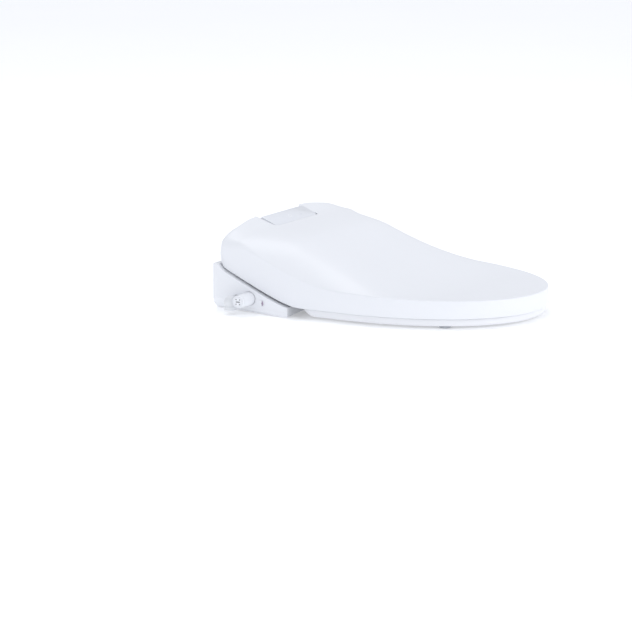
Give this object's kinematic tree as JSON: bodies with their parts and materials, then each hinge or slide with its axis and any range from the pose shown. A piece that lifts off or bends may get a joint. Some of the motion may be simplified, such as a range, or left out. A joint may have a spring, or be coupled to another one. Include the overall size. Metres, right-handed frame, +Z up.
{
  "type": "electric bidet seat",
  "caption": "Elongated electric bidet seat: hinged lid and heated seat ring on a wedge-shaped rear unit with a wash nozzle, warm air dryer, water inlet and filter cap.",
  "frame": {"origin": "midway between the two fixing holes, on the plane of the toilet rim", "axes": "+Z up, -Y towards the nose of the seat, +X to the right seen from the front; the water inlet is on -X"},
  "size_m": [0.428, 0.513, 0.1381],
  "materials": {
    "white_plastic": "glossy white moulded plastic",
    "seat_plastic": "glossy white moulded plastic",
    "panel_grey": "pale grey satin window",
    "clear_lens": "clear light pipe",
    "soft_white": "matte white plastic",
    "pale_plastic": "pale polymer fitting",
    "rubber_grey": "soft grey rubber",
    "rubber_black": "black rubber",
    "dark_plastic": "matte dark plastic",
    "blue_plastic": "matte blue plastic",
    "steel": "brushed stainless steel",
    "brass": "machined brass",
    "copper": "resistance wire",
    "ceramic": "glazed white ceramic",
    "hose": "translucent silicone hose",
    "board": "green circuit board"
  },
  "bodies": {
    "mounting_bracket": {"mounting_plate": "soft_white", "bolt_adjusters": "steel", "grip_pad": "rubber_black"},
    "main_unit": {"base_casing": "white_plastic", "upper_casing": "white_plastic", "top_panel": "panel_grey", "indicator_lens": "clear_lens", "casing_screws": "steel", "inlet_body": "pale_plastic", "inlet_elbow": "pale_plastic", "inlet_washer": "rubber_black", "cord_gland": "soft_white", "solenoid_valve": "blue_plastic", "plunger_spring": "steel", "flow_sensor": "dark_plastic", "heater_tank": "soft_white", "heater_element": "ceramic", "diverter_valve": "brass", "diverter_motor": "steel", "internal_hoses": "hose", "button_spring": "steel", "nozzle_guide": "soft_white", "nozzle_motor": "steel", "fan_housing": "dark_plastic", "dryer_motor": "steel", "dryer_duct": "dark_plastic", "dryer_heater": "copper", "deodorizer_housing": "dark_plastic", "control_board": "board", "power_board": "board", "night_light": "clear_lens", "hinge_shafts": "steel", "seat_damper": "dark_plastic", "lid_damper": "dark_plastic"},
    "filter": {"filter_cap": "white_plastic", "filter_mesh": "steel", "cap_o_ring": "rubber_black"},
    "button": {"release_button": "white_plastic"},
    "wand": {"nozzle_wand": "steel", "nozzle_tip": "white_plastic", "nozzle_rack": "soft_white"},
    "pinion": {"nozzle_pinion": "soft_white"},
    "shutter": {"nozzle_door": "white_plastic"},
    "air_flap": {"dryer_flap": "white_plastic"},
    "dryer_fan": {"dryer_impeller": "dark_plastic"},
    "deodorizer_fan": {"deodorizer_impeller": "dark_plastic"},
    "cartridge": {"deodorizer_cartridge": "soft_white"},
    "plunger": {"valve_plunger": "steel"},
    "seat": {"seat_upper_shell": "seat_plastic", "seat_lower_shell": "seat_plastic", "seat_heater_foil": "copper", "seat_bumpers": "rubber_grey", "seat_hinge_arms": "seat_plastic"},
    "lid": {"lid_shell": "white_plastic", "lid_bumpers": "rubber_grey", "lid_hinge_ears": "white_plastic"}
  },
  "joints": [
    {"name": "unit_release_slide", "type": "slide", "parent": "mounting_bracket", "child": "main_unit", "axis": [0, -1, 0], "range_m": [0, 0.05]},
    {"name": "seat_hinge", "type": "hinge", "parent": "main_unit", "child": "seat", "pos_m": [0, 0.012, 0.108], "axis": [-1, 0, 0], "range_deg": [0, 100]},
    {"name": "lid_hinge", "type": "hinge", "parent": "seat", "child": "lid", "pos_m": [0, 0.012, 0.108], "axis": [1, 0, 0], "range_deg": [-105, 0]},
    {"name": "nozzle_slide", "type": "slide", "parent": "main_unit", "child": "wand", "axis": [0, -0.8192, -0.5736], "range_m": [0, 0.085]},
    {"name": "pinion_turn", "type": "hinge", "parent": "main_unit", "child": "pinion", "pos_m": [0, -0.06763, 0.06598], "axis": [-1, 0, 0], "range_deg": [0, 610]},
    {"name": "shutter_hinge", "type": "hinge", "parent": "main_unit", "child": "shutter", "pos_m": [0, -0.1033, 0.0342], "axis": [-1, 0, 0], "range_deg": [0, 86.5]},
    {"name": "air_flap_hinge", "type": "hinge", "parent": "main_unit", "child": "air_flap", "pos_m": [0.073, -0.1033, 0.0136], "axis": [-1, 0, 0], "range_deg": [0, 60]},
    {"name": "dryer_fan_spin", "type": "hinge", "parent": "main_unit", "child": "dryer_fan", "pos_m": [0.104, -0.014, 0.02], "axis": [0, 0, 1], "continuous": true},
    {"name": "deodorizer_fan_spin", "type": "hinge", "parent": "main_unit", "child": "deodorizer_fan", "pos_m": [0.158, -0.022, 0.02], "axis": [0, 0, 1], "continuous": true},
    {"name": "cartridge_slide", "type": "slide", "parent": "main_unit", "child": "cartridge", "axis": [1, 0, 0], "range_m": [0, 0.03]},
    {"name": "filter_cap_turn", "type": "hinge", "parent": "main_unit", "child": "filter", "pos_m": [-0.2, -0.04, 0.025], "axis": [-1, 0, 0], "range_deg": [0, 90]},
    {"name": "release_button_press", "type": "slide", "parent": "main_unit", "child": "button", "axis": [1, 0, 0], "range_m": [0, 0.002], "stiffness_N_per_m": 600, "deforming": ["button_spring"]},
    {"name": "valve_plunger_lift", "type": "slide", "parent": "main_unit", "child": "plunger", "axis": [0, 0, 1], "range_m": [0, 0.003], "stiffness_N_per_m": 100, "deforming": ["plunger_spring"]}
  ],
  "couplings": [
    {"joint": "pinion_turn", "follows": "nozzle_slide", "rad_per_m": 125},
    {"joint": "shutter_hinge", "follows": "nozzle_slide", "rad_per_m": 17.659}
  ]
}
